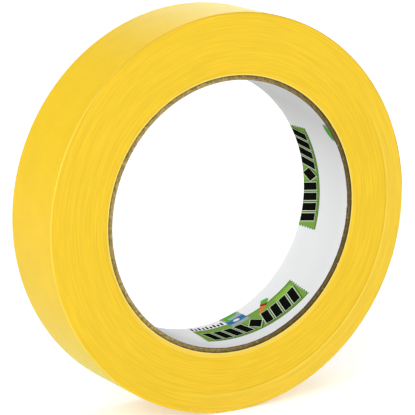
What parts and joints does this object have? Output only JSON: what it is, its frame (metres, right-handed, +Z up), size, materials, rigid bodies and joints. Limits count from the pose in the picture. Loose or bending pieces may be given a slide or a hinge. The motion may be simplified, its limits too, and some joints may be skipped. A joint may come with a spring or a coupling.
{
  "type": "masking tape roll",
  "caption": "Roll of yellow crepe-paper masking tape on a spiral-wound paper core, with a free end that peels off the rim and curls.",
  "frame": {"origin": "on the floor under the middle of the roll, which stands on its rim", "axes": "+Z up; the roll's axis lies along Y, and the front face looks towards -Y; the free end is on the +X side of the rim"},
  "size_m": [0.114, 0.024, 0.1139],
  "materials": {
    "yellow_tape": "matte",
    "printed_liner": "satin",
    "chipboard": "matte"
  },
  "bodies": {
    "roll": {"core_liner_ply": "printed_liner", "core_inner_ply": "chipboard", "core_middle_ply": "chipboard", "core_outer_ply": "chipboard", "tape_wound_body": "yellow_tape"},
    "free_end_1": {"tape_end_1": "yellow_tape"},
    "free_end_2": {"tape_end_2": "yellow_tape"},
    "free_end_3": {"tape_end_3": "yellow_tape"},
    "free_end_4": {"tape_end_4": "yellow_tape"},
    "free_end_5": {"tape_end_5": "yellow_tape"},
    "free_end_6": {"tape_end_6": "yellow_tape"}
  },
  "joints": [
    {"name": "free_end_peel", "type": "hinge", "parent": "roll", "child": "free_end_1", "pos_m": [0.03888, 0, 0.09848], "axis": [0, -1, 0], "range_deg": [0, 90]},
    {"name": "free_end_curl_2", "type": "hinge", "parent": "free_end_1", "child": "free_end_2", "pos_m": [0.04396, 0, 0.09305], "axis": [0, -1, 0], "range_deg": [0, 6.5]},
    {"name": "free_end_curl_3", "type": "hinge", "parent": "free_end_2", "child": "free_end_3", "pos_m": [0.04829, 0, 0.087], "axis": [0, -1, 0], "range_deg": [0, 6.5]},
    {"name": "free_end_curl_4", "type": "hinge", "parent": "free_end_3", "child": "free_end_4", "pos_m": [0.0518, 0, 0.08044], "axis": [0, -1, 0], "range_deg": [0, 6.5]},
    {"name": "free_end_curl_5", "type": "hinge", "parent": "free_end_4", "child": "free_end_5", "pos_m": [0.05442, 0, 0.07348], "axis": [0, -1, 0], "range_deg": [0, 6.5]},
    {"name": "free_end_curl_6", "type": "hinge", "parent": "free_end_5", "child": "free_end_6", "pos_m": [0.05611, 0, 0.06623], "axis": [0, -1, 0], "range_deg": [0, 6.5]}
  ],
  "couplings": [
    {"joint": "free_end_curl_2", "follows": "free_end_peel", "ratio": 0.07},
    {"joint": "free_end_curl_3", "follows": "free_end_peel", "ratio": 0.07},
    {"joint": "free_end_curl_4", "follows": "free_end_peel", "ratio": 0.07},
    {"joint": "free_end_curl_5", "follows": "free_end_peel", "ratio": 0.07},
    {"joint": "free_end_curl_6", "follows": "free_end_peel", "ratio": 0.07}
  ]
}
